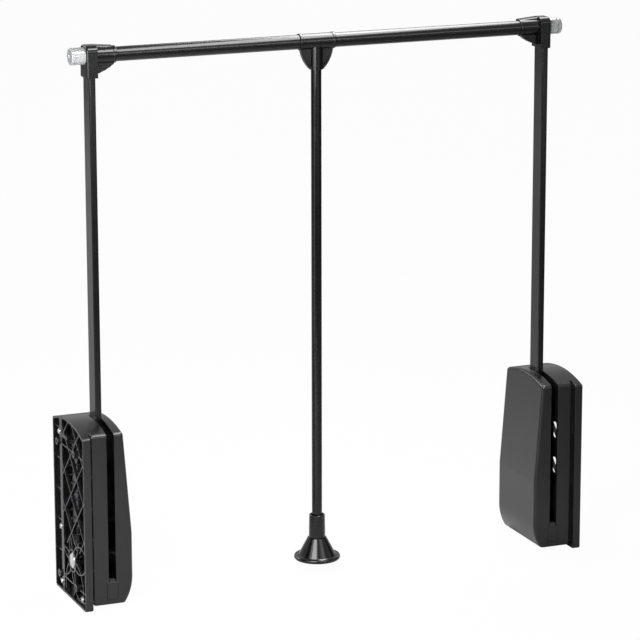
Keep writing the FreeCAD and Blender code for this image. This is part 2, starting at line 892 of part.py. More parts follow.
def stop_plate():
    """The plate under the slot, with the ledge that the lowered arm comes down to."""
    half = size("stop_plate_width") / 2
    low = size("stop_plate_low")
    front = body_front - size("stop_plate_proud")
    face = box("stop_plate_face", at(arm_x - half, front, low),
               at(arm_x + half, stop_plate_rear + 1, slot_floor))
    face = rounded("stop_plate_soft", face, size("stop_plate_round"), lambda edge: lies_in(edge, "y", front))
    flange = box("stop_plate_back", at(seam, stop_plate_rear, low),
                 at(arm_x + half + size("stop_plate_flange"), stop_plate_rear + 2, slot_floor))
    ledge = box("stop_plate_ledge", at(seam, stop_plate_rear, slot_floor - wall),
                at(slot_high, body_front + size("sill_length"), slot_floor))
    return fuse("left_stop_plate", [face, flange, ledge])


def housing_screws():
    screws = []
    for number, (y, z) in enumerate(screw_points()):
        head_start = size("screw_seat") - size("screw_head_height")
        head = cylinder(f"screw_head_{number}", "x", at(head_start, y, z), size("screw_head_height"),
                        size("screw_head_radius"))
        shank = cylinder(f"screw_shank_{number}", "x", at(size("screw_seat") - 1, y, z),
                         size("screw_length") + 1, size("screw_radius"))
        socket = cylinder(f"screw_socket_{number}", "x", at(head_start, y, z),
                          size("screw_head_height") / 2, size("screw_radius"))
        screws.append(cut(f"screw_{number}", fuse(f"screw_body_{number}", [head, shank]), socket))
    return fuse("left_housing_screws", screws)


# ---------------------------------------------------------------- pivot

def pivot_axle():
    """The axle, with a wide flat head at the wall side."""
    start = size("axle_recess")
    shank = cylinder("axle_shank", "x", at(start, 0, pivot_z), size("axle_length"), size("axle_radius"))
    head = cylinder("axle_head_sharp", "x", at(start, 0, pivot_z), size("axle_head_height"),
                    size("axle_head_radius"))
    head = rounded("axle_head", head, size("axle_head_round"),
                   lambda edge: lies_in(edge, "x", wall_x + start))
    return fuse("left_pivot_axle", [shank, head])


def pivot_washer():
    return ring("left_pivot_washer", "x", at(disc_start - size("washer_thickness"), 0, pivot_z),
                size("washer_thickness"), size("washer_radius"), size("axle_radius") + gap)


def pivot_bush():
    length = size("foot_thickness") + 2 * seat_gap
    return ring("left_pivot_bush", "x", at(hub_low + seat_gap, 0, pivot_z), length, size("bush_radius"),
                size("axle_radius") + gap)


# ---------------------------------------------------------------- arm

def rounded_bar(name, half_x, half_y, low, high, corner):
    """An upright bar with rounded edges, about the arm's middle line."""
    block = box(f"{name}_block", at(arm_x - half_x, -half_y, low), at(arm_x + half_x, half_y, high))
    return rounded(name, block, corner, lambda edge: runs_along(edge, "z"))


def rivet_heights():
    return [pivot_z + size("rivet_low"), pivot_z + size("rivet_high")]


def rivet_holes(name):
    length = size("arm_thickness") + beyond
    return [
        cylinder(f"{name}_{number}", "x", at(arm_x - length / 2, 0, z), length, size("rivet_radius"))
        for number, z in enumerate(rivet_heights())
    ]


def arm():
    half_x = size("arm_thickness") / 2
    half_y = size("arm_depth") / 2
    low = pivot_z + size("arm_start")
    high = rail_z - size("arm_top")
    outside = rounded_bar("arm_outside", half_x, half_y, low, high, size("arm_corner"))
    inside = rounded_bar("arm_inside", half_x - size("arm_wall"), half_y - size("arm_wall"),
                         low - 1, high + 1, size("arm_corner") - size("arm_wall"))
    screw = cylinder("arm_screw_hole", "y", at(arm_x, 0, rail_z - size("set_screw_drop")), size("arm_depth"),
                     size("set_screw_radius") + gap)
    return cut("left_arm", outside, inside, screw, *rivet_holes("arm_rivet_hole"))


def arm_foot():
    """The crank plate on the pivot, with the tongue that the arm tube is riveted to."""
    start = arm_x - size("foot_thickness") / 2
    angle = size("crank_rest_angle")
    lug = size("crank_lug_radius")
    hub = cylinder("foot_hub", "x", at(start, 0, pivot_z), size("foot_thickness"), size("foot_radius"))
    eye = cylinder("foot_lug", "x", at(start, crank_y, crank_z), size("foot_thickness"), lug)
    web = doc.addObject("Part::Box", "foot_web")
    bind(web, "Length", size("foot_thickness"))
    bind(web, "Width", size("crank_radius"))
    bind(web, "Height", 2 * lug)
    corner = at(start, -lug * sine(angle), pivot_z - lug * cosine(angle))
    place(web, corner, Rotation(Vector(1, 0, 0), -angle.value))
    half_x = size("arm_thickness") / 2 - size("arm_wall") - gap
    half_y = size("arm_depth") / 2 - size("arm_wall") - gap
    tongue = rounded_bar("foot_tongue", half_x, half_y, pivot_z, pivot_z + size("foot_tongue_top"),
                         size("arm_corner") - size("arm_wall"))
    bore = cylinder("foot_bore", "x", at(0, 0, pivot_z), thickness, size("bush_radius"))
    pin = cylinder("foot_pin_hole", "x", at(0, crank_y, crank_z), thickness, size("crank_pin_radius"))
    solid = fuse("foot_solid", [hub, eye, web, tongue])
    return cut("left_arm_foot", solid, bore, pin, *rivet_holes("foot_rivet_hole"))


def arm_rivets():
    half = size("arm_thickness") / 2
    rivets = []
    for number, z in enumerate(rivet_heights()):
        head = size("rivet_head")
        shank = cylinder(f"rivet_shank_{number}", "x", at(arm_x - half, 0, z), 2 * half,
                         size("rivet_radius"))
        ends = [
            cone(f"rivet_head_{number}", "x", at(arm_x + half, 0, z), head,
                 size("rivet_radius") + head, size("rivet_radius")),
            cone(f"rivet_tail_{number}", "x", at(arm_x - half - head, 0, z), head,
                 size("rivet_radius"), size("rivet_radius") + head),
        ]
        rivets.append(fuse(f"rivet_{number}", [shank] + ends))
    return fuse("left_arm_rivets", rivets)


def crank_pin():
    foot_end = arm_x + size("foot_thickness") / 2
    shank = cylinder("pin_shank", "x", at(size("crank_pin_back"), crank_y, crank_z),
                     foot_end - size("crank_pin_back"), size("crank_pin_radius"))
    head = cylinder("pin_head", "x", at(foot_end, crank_y, crank_z), size("rivet_head"),
                    size("crank_pin_radius") * 1.6)
    return fuse("left_crank_pin", [shank, head])


# ---------------------------------------------------------------- spring unit

def damper_cylinder():
    low = size("cylinder_low")
    top = shelf_z + size("shelf_thickness")
    body = cylinder("damper_body", "z", at(spring_x, spring_y, low), top - low, size("cylinder_radius"))
    head = cylinder("damper_head", "z", at(spring_x, spring_y, top), size("cylinder_head_height"),
                    size("cylinder_head_radius"))
    bore = cylinder("damper_bore", "z", at(spring_x, spring_y, low - 1),
                    shelf_z - size("cylinder_bore_drop") - low + 1, size("plunger_rod_radius") + gap)
    return cut("left_damper_cylinder", fuse("damper_solid", [body, head]), bore)


def spring_seat():
    low = shelf_z - size("seat_thickness")
    return ring("left_spring_seat", "z", at(spring_x, spring_y, low), size("seat_thickness"),
                size("seat_radius"), size("cylinder_radius") + gap)


def plunger():
    """The yoke that the crank pin lifts, its collar under the spring, and the rod in the damper."""
    half_length = (size("crank_radius") - crank_y) / 2 + size("crank_pin_radius") + size("running_gap") * 12
    half_width = half_length + size("yoke_wall")
    half_height = size("crank_pin_radius") + size("yoke_play")
    half_x = size("yoke_thickness") / 2
    yoke = box("yoke_block", at(spring_x - half_x, spring_y - half_width, crank_z - size("yoke_below")),
               at(spring_x + half_x, spring_y + half_width, collar_z))
    slot = box("yoke_slot", at(0, spring_y - half_length, crank_z - half_height),
               at(seam, spring_y + half_length, crank_z + half_height))
    collar = cylinder("plunger_collar", "z", at(spring_x, spring_y, collar_z), size("collar_thickness"),
                      size("coil_radius") + size("wire_radius"))
    rod_start = collar_z + size("collar_thickness")
    rod = cylinder("plunger_rod", "z", at(spring_x, spring_y, rod_start),
                   shelf_z - size("plunger_rod_drop") - rod_start, size("plunger_rod_radius"))
    return cut("left_plunger", fuse("plunger_solid", [yoke, collar, rod]), slot)


def coil_spring():
    """A helix of round wire from the plunger's collar to the seat under the shelf."""
    wire = size("wire_radius")
    low = collar_z + size("collar_thickness")
    high = shelf_z - size("seat_thickness")
    rise = high - low - 2 * wire
    helix = doc.addObject("Part::Helix", "spring_line")
    bind(helix, "Radius", size("coil_radius"))
    bind(helix, "Height", rise)
    bind(helix, "Pitch", rise / size("coil_count"))
    circle = doc.addObject("Part::Circle", "spring_section")
    bind(circle, "Radius", wire)
    circle.Placement = Placement(Vector(), Rotation(Vector(1, 0, 0), 90))
    bind(circle, "Placement.Base.x", size("coil_radius"))
    sweep = doc.addObject("Part::Sweep", "left_coil_spring")
    sweep.Sections = [circle]
    sweep.Spine = (helix, ["Edge1"])
    sweep.Solid = True
    sweep.Frenet = True
    return place(sweep, at(spring_x, spring_y, low + wire))


# ---------------------------------------------------------------- stop buffers

def stop_buffers():
    """Rubber pads: behind the raised arm, and on the stop plate's ledge under the lowered arm."""
    half = size("buffer_width") / 2
    upper = box("buffer_upper",
                at(arm_x - half, slot_rear - size("buffer_thickness"), height - size("buffer_low_drop")),
                at(arm_x + half, slot_rear, height - size("buffer_high_drop")))
    lower = box("buffer_lower", at(arm_x - half, body_front, slot_floor),
                at(arm_x + half, body_front + size("sill_length"), slot_floor + size("sill_buffer_height")))
    return fuse("left_stop_buffers", [upper, lower])


# ---------------------------------------------------------------- corner connector

def connector_block():
    """The arm's pocket: a block with a rounded crown and soft edges on the wall side."""
    low_x = arm_x - size("block_thickness") / 2
    half_y = size("block_depth") / 2
    low = rail_z - size("block_below")
    top = rail_z + size("block_above")
    block = box("block_sharp", at(low_x, -half_y, low), at(low_x + size("block_thickness"), half_y, top))
    crown = rounded("block_crowned", block, size("block_crown"),
                    lambda edge: runs_along(edge, "x") and lies_in(edge, "z", top))
    outer_face = wall_x + low_x
    return rounded("block_soft", crown, size("block_round"),
                   lambda edge: lies_in(edge, "x", outer_face) and not lies_in(edge, "z", low))


def gusset():
    """The web under the socket, with low ribs on both faces."""
    block_end = arm_x + size("block_thickness") / 2
    low = rail_z - size("block_below") + size("gusset_lift")
    end = size("socket_end") - size("mouth_width") / 2
    corners = [
        (arm_x, low),
        (block_end, low, size("gusset_bulge")),
        (end, rail_z - size("socket_radius")),
        (end, rail_z),
        (arm_x, rail_z),
    ]
    web = prism("gusset_web", "XZ_Plane", corners, at(0, 0, 0), size("gusset_web"), midplane=True)
    space = prism("gusset_space", "XZ_Plane", corners, at(0, 0, 0), size("gusset_flange"), midplane=True)
    slabs = []
    for number in range(int(size("gusset_ribs").value)):
        high = rail_z - size("socket_radius") - size("gusset_rib") / 2 - number * size("gusset_pitch")
        slabs.append(box(f"gusset_slab_{number}", at(arm_x, -depth, high - size("gusset_rib")),
                         at(end, depth, high)))
    return [web, common("gusset_ribs", [space, fuse("gusset_slabs", slabs)])]


def hood():
    """The flat-topped cap over the socket's rear half, which falls a little towards the rail."""
    end = size("socket_end") - size("mouth_width") / 2
    crest = rail_z + size("hood_rise")
    corners = [
        (arm_x, rail_z),
        (end, rail_z),
        (end, crest - size("hood_fall")),
        (arm_x + size("block_thickness") / 2, crest),
        (arm_x, crest),
    ]
    middle = at(0, size("hood_offset"), 0)
    block = prism("hood_sharp", "XZ_Plane", corners, middle, size("hood_width"), midplane=True)
    return rounded("hood", block, size("hood_round"),
                   lambda edge: edge.BoundBox.XLength > 1 and edge.BoundBox.ZMin > rail_z.value + 1)


def connector():
    mouth_start = size("socket_end") - size("mouth_width")
    barrel = cylinder("socket_barrel", "x", at(arm_x, 0, rail_z), mouth_start + 1 - arm_x,
                      size("socket_radius"))
    mouth = cylinder("socket_mouth", "x", at(mouth_start, 0, rail_z), size("mouth_width"),
                     size("mouth_radius"))
    mouth = rounded("socket_mouth_round", mouth, size("mouth_round"), is_circle)
    solid = fuse("connector_solid", [connector_block(), barrel, mouth, hood()] + gusset())
    bore = cylinder("socket_bore", "x", at(size("tube_seat"), 0, rail_z), thickness, size("rail_radius"))
    half_x = size("arm_thickness") / 2 + size("arm_pocket_gap")
    half_y = size("arm_depth") / 2 + size("arm_pocket_gap")
    pocket = box("arm_pocket", at(arm_x - half_x, -half_y, rail_z - size("block_below") - 1),
                 at(arm_x + half_x, half_y, rail_z - size("arm_top")))
    set_screw = cylinder("set_screw_hole", "y", at(arm_x, 0, rail_z - size("set_screw_drop")), depth,
                         size("set_screw_radius"))
    bumper_screw = cylinder("bumper_screw_hole", "x", at(0, 0, rail_z), bumper_screw_end(),
                            size("bumper_screw_radius"))
    return cut("left_connector", solid, bore, pocket, set_screw, bumper_screw)


def connector_screw():
    rear = size("block_depth") / 2
    return cylinder("left_connector_screw", "y",
                    at(arm_x, rear - size("set_screw_length"), rail_z - size("set_screw_drop")),
                    size("set_screw_length"), size("set_screw_radius"))


def bumper_screw_seat():
    return size("bumper_from_wall") + size("bumper_screw_recess") + size("bumper_screw_head_height")


def bumper_screw_end():
    return bumper_screw_seat() + size("bumper_screw_length")


def bumper():
    """The clear glide on the outside of the connector, with a groove behind its cap."""
    start = size("bumper_from_wall")
    radius = size("bumper_radius")
    length = arm_x - size("block_thickness") / 2 - start
    plain = cylinder("bumper_plain", "x", at(start, 0, rail_z), length, radius)
    soft = rounded("bumper_soft", plain, size("bumper_round"),
                   lambda edge: is_circle(edge) and lies_in(edge, "x", wall_x + start))
    groove = ring("bumper_groove", "x", at(start + size("bumper_cap"), 0, rail_z),
                  size("bumper_groove_width"), radius + 1, radius - size("bumper_groove_depth"))
    bore = cylinder("bumper_bore", "x", at(0, 0, rail_z), thickness, size("bumper_screw_radius") + gap)
    well = cylinder("bumper_well", "x", at(0, 0, rail_z), bumper_screw_seat(),
                    size("bumper_screw_head") + gap)
    return cut("left_bumper", soft, groove, bore, well)


def bumper_screw():
    head = cylinder("bumper_screw_head", "x",
                    at(size("bumper_from_wall") + size("bumper_screw_recess"), 0, rail_z),
                    size("bumper_screw_head_height"), size("bumper_screw_head"))
    shank = cylinder("bumper_screw_shank", "x", at(bumper_screw_seat() - 1, 0, rail_z),
                     size("bumper_screw_length") + 1, size("bumper_screw_radius"))
    return fuse("left_bumper_screw", [head, shank])


# ---------------------------------------------------------------- rail

def rail_tube(side, start, end):
    """One of the two equal outer tubes, and the bush in its open end, which faces the tee."""
    inner = size("rail_radius") - size("rail_wall")
    tube = ring(f"{side}_rail_tube", "x", (start, 0, rail_z), end - start, size("rail_radius"), inner)
    bush_start = end - size("rail_bush_length") if side == "left" else start
    bush = ring(f"{side}_rail_bush", "x", (bush_start, 0, rail_z), size("rail_bush_length"), inner,
                size("inner_rail_radius") + gap)
    node(tube, f"{side}_rail_tube")
    node(bush, f"{side}_rail_bush")


def rail_inner_tube():
    reach = tee_x - wall_x - size("tube_seat") - size("inner_rail_end")
    radius = size("inner_rail_radius")
    groove_start = tee_x - size("rail_groove_width") / 2
    tube = ring("inner_rail_plain", "x", (tee_x - reach, 0, rail_z), 2 * reach, radius,
                radius - size("inner_rail_wall"))
    groove = ring("inner_rail_groove", "x", (groove_start, 0, rail_z), size("rail_groove_width"), radius + 1,
                  radius - size("rail_groove_depth"))
    return cut("rail_inner_tube", tube, groove)


# ---------------------------------------------------------------- tee

def wing_block(name, inset, width):
    """The outline of both leaf-shaped wings, pulled in by an inset."""
    half = size("tee_length") / 2 - size("tee_rim_width") / 2 - inset
    foot = size("tee_socket_radius") - inset / 2
    low = rail_z - size("tee_socket_drop") + 2 * inset
    root = rail_z - size("tee_radius") / 2
    corners = [
        (-half, root, size("tee_wing_bulge")),
        (-foot, low),
        (foot, low, size("tee_wing_bulge")),
        (half, root),
    ]
    return prism(name, "XZ_Plane", corners, (tee_x, 0, 0), width, midplane=True)


def handle_tee():
    half = size("tee_length") / 2
    radius = size("tee_radius")
    sleeve = cylinder("tee_sleeve", "x", (tee_x - half, 0, rail_z), 2 * half, radius)
    rims = []
    for side, start in (("left", tee_x - half), ("right", tee_x + half - size("tee_rim_width"))):
        rim = cylinder(f"tee_rim_{side}", "x", (start, 0, rail_z), size("tee_rim_width"),
                       size("tee_rim_radius"))
        rims.append(rounded(f"tee_rim_{side}_round", rim, size("tee_rim_round"), is_circle))
    socket_low = rail_z - size("tee_socket_drop")
    socket = cylinder("tee_socket", "z", (tee_x, 0, socket_low), size("tee_socket_drop"),
                      size("tee_socket_radius"))
    border = cut("wing_border", wing_block("wing_outside", formula(0), size("tee_wing_thickness")),
                 wing_block("wing_inside", size("tee_wing_border"), size("tee_wing_thickness") + 2))
    web = wing_block("wing_web", size("tee_wing_border") / 2, size("tee_wing_web"))
    solid = fuse("tee_solid", [sleeve, socket, border, web] + rims)
    tools = [
        cylinder("tee_bore", "x", (tee_x - half - 1, 0, rail_z), 2 * half + 2,
                 size("inner_rail_radius") + gap),
        cylinder("tee_rod_bore", "z", (tee_x, 0, socket_low - 1),
                 rod_top() - socket_low + 1, size("pull_rod_radius")),
        cylinder("tee_screw_hole", "y", (tee_x, 0, rail_z), depth, size("tee_screw_radius") + gap),
    ]
    return cut("handle_tee", solid, *tools)


def rod_top():
    return rail_z - size("tee_radius") - size("tee_socket_roof")


def tee_screw():
    tip = size("inner_rail_radius") - size("rail_groove_depth") + gap
    seat = size("tee_radius")
    shank = cylinder("tee_screw_shank", "y", (tee_x, tip, rail_z), seat - tip + 1, size("tee_screw_radius"))
    head = cylinder("tee_screw_head", "y", (tee_x, seat, rail_z), size("tee_screw_head_height"),
                    size("tee_screw_head"))
    return fuse("tee_screw", [shank, head])


# ---------------------------------------------------------------- pull rod and bell

def pull_rod():
    low = size("pull_rod_low")
    radius = size("pull_rod_radius")
    return ring("pull_rod", "z", (tee_x, 0, low), rod_top() - low, radius, radius - size("pull_rod_wall"))


def rod_plug():
    radius = size("pull_rod_radius") - size("pull_rod_wall")
    return ring("rod_plug", "z", (tee_x, 0, size("pull_rod_low")), size("plug_length"), radius,
                size("bell_screw_radius"))


def bell_handle():
    """A trumpet-shaped grip: collar, straight cone, and a narrow brim with a rounded bead."""
    rim = size("bell_rim_radius")
    low = size("bell_rim_height")
    edge = low + size("bell_rim_thickness")
    brim = size("bell_brim_radius")
    brim_z = size("bell_brim_height")
    neck_z = size("bell_neck_height")
    bell_wall = size("bell_wall")
    dip = size("bell_brim_dip")
    bead = size("bell_rim_bead")
    top = size("bell_top_height")
    recess = size("bell_recess_radius")
    rod = size("pull_rod_radius") + gap
    rod_floor = size("pull_rod_low")
    shank = size("bell_screw_radius") + gap
    ceiling = size("bell_ceiling")
    corners = [
        (rim - bead, low, bead),
        (rim - bead, edge, -dip),
        (brim, brim_z),
        (size("bell_neck_radius"), neck_z),
        (size("bell_collar_radius") - size("bell_undercut"), neck_z),
        (size("bell_collar_radius") - size("bell_undercut"), neck_z + size("bell_undercut")),
        (size("bell_collar_radius"), neck_z + size("bell_undercut")),
        (size("bell_top_radius"), top - size("bell_edge_round")),
        (size("bell_top_radius") - size("bell_edge_round"), top),
        (recess, top),
        (recess, top - size("bell_recess_depth")),
        (rod, top - size("bell_recess_depth")),
        (rod, rod_floor),
        (shank, rod_floor),
        (shank, ceiling),
        (size("bell_neck_radius") - bell_wall, ceiling),
        (brim - bell_wall, brim_z - bell_wall / 2, dip),
    ]
    return turned("bell_handle", corners, (tee_x, 0, 0))


def bell_screw():
    seat = size("bell_ceiling")
    head_height = size("bell_screw_head_height")
    head = cylinder("bell_screw_head", "z", (tee_x, 0, seat - head_height), head_height,
                    size("bell_screw_head"))
    shank = cylinder("bell_screw_shank", "z", (tee_x, 0, seat - 1), size("bell_screw_length") + 1,
                     size("bell_screw_radius"))
    return fuse("bell_screw", [head, shank])


left_and_right(housing_base(), "housing_base")
left_and_right(housing_cover(), "housing_cover")
left_and_right(housing_screws(), "housing_screws")
left_and_right(pivot_axle(), "pivot_axle")
left_and_right(pivot_washer(), "pivot_washer")
left_and_right(pivot_bush(), "pivot_bush")
left_and_right(arm(), "arm")
left_and_right(arm_foot(), "arm_foot")
left_and_right(arm_rivets(), "arm_rivets")
left_and_right(crank_pin(), "crank_pin")
left_and_right(damper_cylinder(), "damper_cylinder")
left_and_right(spring_seat(), "spring_seat")
left_and_right(plunger(), "plunger")
left_and_right(coil_spring(), "coil_spring")
left_and_right(stop_plate(), "stop_plate")
left_and_right(stop_buffers(), "stop_buffers")
left_and_right(connector(), "connector")
left_and_right(connector_screw(), "connector_screw")
left_and_right(bumper(), "bumper")
left_and_right(bumper_screw(), "bumper_screw")

tube_end = size("tee_length") / 2 + seat_gap
rail_tube("left", wall_x + size("tube_seat"), tee_x - tube_end)
rail_tube("right", tee_x + tube_end, -wall_x - size("tube_seat"))
node(rail_inner_tube(), "rail_inner_tube")
node(handle_tee(), "handle_tee")
node(tee_screw(), "tee_screw")
node(pull_rod(), "pull_rod")
node(rod_plug(), "rod_plug")
node(bell_handle(), "bell_handle")
node(bell_screw(), "bell_screw")


# ---------------------------------------------------------------- export

doc.recompute()
for item in doc.Objects:
    if "Invalid" in item.State or "Error" in item.State:
        raise RuntimeError(f"{item.Name} failed: {item.State}")
os.makedirs("parts", exist_ok=True)
for item in nodes:
    if item.Shape.isNull() or not item.Shape.isValid():
        raise RuntimeError(f"{item.Label} has no valid shape")
for item in nodes:
    item.Shape.exportStep(f"parts/{item.Label}.step")
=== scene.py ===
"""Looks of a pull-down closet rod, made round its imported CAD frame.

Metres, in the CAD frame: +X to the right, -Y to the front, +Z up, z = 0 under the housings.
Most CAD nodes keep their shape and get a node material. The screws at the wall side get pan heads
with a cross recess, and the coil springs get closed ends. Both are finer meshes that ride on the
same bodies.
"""
import math

import bmesh
import bpy
from mathutils import Matrix, Vector


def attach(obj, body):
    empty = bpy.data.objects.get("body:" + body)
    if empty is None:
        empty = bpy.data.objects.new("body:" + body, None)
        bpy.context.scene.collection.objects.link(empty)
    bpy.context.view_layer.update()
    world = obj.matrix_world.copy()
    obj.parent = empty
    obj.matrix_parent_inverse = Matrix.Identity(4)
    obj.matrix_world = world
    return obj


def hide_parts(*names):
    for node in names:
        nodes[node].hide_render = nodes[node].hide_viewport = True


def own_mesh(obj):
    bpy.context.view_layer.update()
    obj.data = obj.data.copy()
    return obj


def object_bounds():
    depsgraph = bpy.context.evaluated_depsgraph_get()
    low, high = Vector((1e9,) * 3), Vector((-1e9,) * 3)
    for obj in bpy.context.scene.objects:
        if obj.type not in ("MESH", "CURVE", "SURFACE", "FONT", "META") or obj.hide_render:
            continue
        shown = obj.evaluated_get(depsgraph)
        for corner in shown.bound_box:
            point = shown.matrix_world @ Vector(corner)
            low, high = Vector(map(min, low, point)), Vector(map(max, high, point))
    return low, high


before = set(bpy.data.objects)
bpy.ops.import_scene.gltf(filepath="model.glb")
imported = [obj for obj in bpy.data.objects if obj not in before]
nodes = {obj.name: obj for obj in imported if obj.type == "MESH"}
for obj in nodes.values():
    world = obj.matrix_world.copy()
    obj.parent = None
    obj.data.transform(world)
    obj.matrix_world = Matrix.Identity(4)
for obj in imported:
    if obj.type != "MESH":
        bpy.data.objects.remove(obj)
cad_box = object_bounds()
SIGNS = {"left": -1, "right": 1}          # of X, on the two sides


# ---------------------------------------------------------------- node materials

def add(tree, kind, inputs=None, **settings):
    """A shader node with its settings and inputs, which are values or other nodes' sockets."""
    item = tree.nodes.new(kind)
    for name, value in settings.items():
        setattr(item, name, value)
    for name, value in (inputs or {}).items():
        if isinstance(value, bpy.types.NodeSocket):
            tree.links.new(value, item.inputs[name])
        else:
            item.inputs[name].default_value = value
    return item


def noise(tree, position, scale, detail=3.0, roughness=0.5):
    found = add(tree, "ShaderNodeTexNoise", {"Vector": position, "Scale": scale, "Detail": detail,
                                             "Roughness": roughness})
    return found.outputs["Fac"]


def spread(tree, value, low, high, start=0.3, end=0.7):
    """The value's middle range, stretched between two numbers."""
    found = add(tree, "ShaderNodeMapRange", {"Value": value, "From Min": start, "From Max": end,
                                             "To Min": low, "To Max": high})
    return found.outputs["Result"]


def mix_colors(tree, share, first, second):
    found = add(tree, "ShaderNodeMix", {"Factor": share}, data_type="RGBA")
    for index, color in ((6, first), (7, second)):
        if isinstance(color, bpy.types.NodeSocket):
            tree.links.new(color, found.inputs[index])
        else:
            found.inputs[index].default_value = (*color, 1)
    return found.outputs[2]


def start_material(name):
    """A new node material: the material, its tree, its shader and the position in object space."""
    material = bpy.data.materials.new(name)
    material.use_nodes = True
    tree = material.node_tree
    shader = tree.nodes["Principled BSDF"]
    position = tree.nodes.new("ShaderNodeTexCoord").outputs["Object"]
    return material, tree, shader, position


EDGE_RADIUS = 0.0006             # the shader's rounding of edges
EDGE_SAMPLES = 4
EDGE_HIGHLIGHT = 0.012               # added to the lighter tone at edges, as a painted highlight
SCRATCH_SCALE = 60.0
SCRATCH_DEPTH = 0.00004


def edge_share(tree):
    """How close a point is to a sharp edge, from 0 on open faces to about 0.3 on the edge."""
    bent = add(tree, "ShaderNodeBevel", {"Radius": EDGE_RADIUS}, samples=EDGE_SAMPLES)
    straight = tree.nodes.new("ShaderNodeNewGeometry").outputs["Normal"]
    turn = add(tree, "ShaderNodeVectorMath", {0: bent.outputs["Normal"], 1: straight},
               operation="DOT_PRODUCT")
    found = add(tree, "ShaderNodeMath", {0: 1.0, 1: turn.outputs["Value"]}, operation="SUBTRACT")
    return found.outputs["Value"]


def grainy(name, dark, light, roughness, grain_scale, grain_height, shine=0.5):
    """Moulded plastic or paint: two close tones in soft clouds, a fine grain and painted edge
    highlights.
    """
    material, tree, shader, position = start_material(name)
    clouds = noise(tree, position, 9.0, 4.0)
    tone = mix_colors(tree, spread(tree, clouds, 0.0, 1.0), dark, light)
    # painted highlight: near sharp edges the base colour turns lighter, standing in for light
    # caught on them
    edge = spread(tree, edge_share(tree), 0.0, 1.0, 0.02, 0.25)
    edge_highlight_tone = tuple(channel + EDGE_HIGHLIGHT for channel in light)
    tone = mix_colors(tree, edge, tone, edge_highlight_tone)
    tree.links.new(tone, shader.inputs["Base Color"])
    smudges = noise(tree, position, 23.0, 5.0, 0.6)
    tree.links.new(spread(tree, smudges, roughness - 0.05, roughness + 0.05),
                   shader.inputs["Roughness"])
    grain = noise(tree, position, grain_scale, 2.0)
    rounded = add(tree, "ShaderNodeBevel", {"Radius": EDGE_RADIUS}, samples=EDGE_SAMPLES)
    bump = add(tree, "ShaderNodeBump", {"Height": grain, "Strength": 0.5, "Distance": grain_height,
                                        "Normal": rounded.outputs["Normal"]})
    tree.links.new(bump.outputs["Normal"], shader.inputs["Normal"])
    shader.inputs["Specular IOR Level"].default_value = shine
    return material


def metal(name, dark, light, roughness, stretch):
    """Bare metal with fine scratches that run along one direction."""
    material, tree, shader, position = start_material(name)
    along = add(tree, "ShaderNodeMapping", {"Vector": position, "Scale": stretch}).outputs["Vector"]
    scratches = noise(tree, along, SCRATCH_SCALE, 4.0, 0.65)
    clouds = noise(tree, position, 30.0, 3.0)
    tone = mix_colors(tree, spread(tree, clouds, 0.0, 1.0), dark, light)
    tree.links.new(tone, shader.inputs["Base Color"])
    tree.links.new(spread(tree, scratches, roughness - 0.06, roughness + 0.08),
                   shader.inputs["Roughness"])
    bump = add(tree, "ShaderNodeBump", {"Height": scratches, "Strength": 0.25,
                                        "Distance": SCRATCH_DEPTH})
    tree.links.new(bump.outputs["Normal"], shader.inputs["Normal"])
    shader.inputs["Metallic"].default_value = 1.0
    return material


def clear_plastic(name):
    """The bumpers' milky plastic, with a clear skin."""
    material, tree, shader, position = start_material(name)
    clouds = noise(tree, position, 90.0, 3.0)
    tone = mix_colors(tree, spread(tree, clouds, 0.0, 1.0),
                      (0.34, 0.345, 0.35), (0.42, 0.425, 0.43))
    tree.links.new(tone, shader.inputs["Base Color"])
    tree.links.new(spread(tree, clouds, 0.16, 0.24), shader.inputs["Roughness"])
    shader.inputs["IOR"].default_value = 1.49
    shader.inputs["Coat Weight"].default_value = 0.6
    return material


LOOKS = {
    "housing": grainy("housing_plastic", (0.006, 0.006, 0.0065), (0.009, 0.009, 0.0095),
                      0.22, 1800.0, 0.00001),
    "fitting": grainy("fitting_plastic", (0.002, 0.002, 0.0022), (0.003, 0.003, 0.0033),
                      0.18, 1200.0, 0.000002, shine=0.42),
    "paint": grainy("black_paint", (0.0025, 0.0025, 0.0027), (0.004, 0.004, 0.0043),
                    0.17, 500.0, 0.0000015, shine=0.42),
    "inner": grainy("inner_plastic", (0.012, 0.012, 0.013), (0.018, 0.018, 0.019),
                    0.4, 1200.0, 0.00002),
    "bush": grainy("bush_plastic", (0.42, 0.41, 0.38), (0.5, 0.49, 0.46),
                   0.35, 1200.0, 0.00002),
    "rubber": grainy("buffer_rubber", (0.012, 0.012, 0.012), (0.02, 0.02, 0.02),
                     0.7, 1800.0, 0.00005),
    "steel": metal("bright_steel", (0.55, 0.55, 0.54), (0.66, 0.66, 0.65),
                   0.28, (1.0, 1.0, 14.0)),
    "screw": metal("screw_steel", (0.6, 0.6, 0.59), (0.7, 0.7, 0.69),
                   0.3, (6.0, 6.0, 6.0)),
    "damper": metal("damper_steel", (0.10, 0.10, 0.11), (0.16, 0.16, 0.17),
                    0.3, (14.0, 14.0, 1.0)),
    "spring": metal("spring_steel", (0.05, 0.05, 0.055), (0.09, 0.09, 0.095),
                    0.35, (8.0, 8.0, 8.0)),
    "inner_tube": metal("inner_tube_chrome", (0.62, 0.62, 0.63), (0.7, 0.7, 0.71),
                        0.12, (1.0, 14.0, 14.0)),
    "clear": clear_plastic("clear_glide"),
}

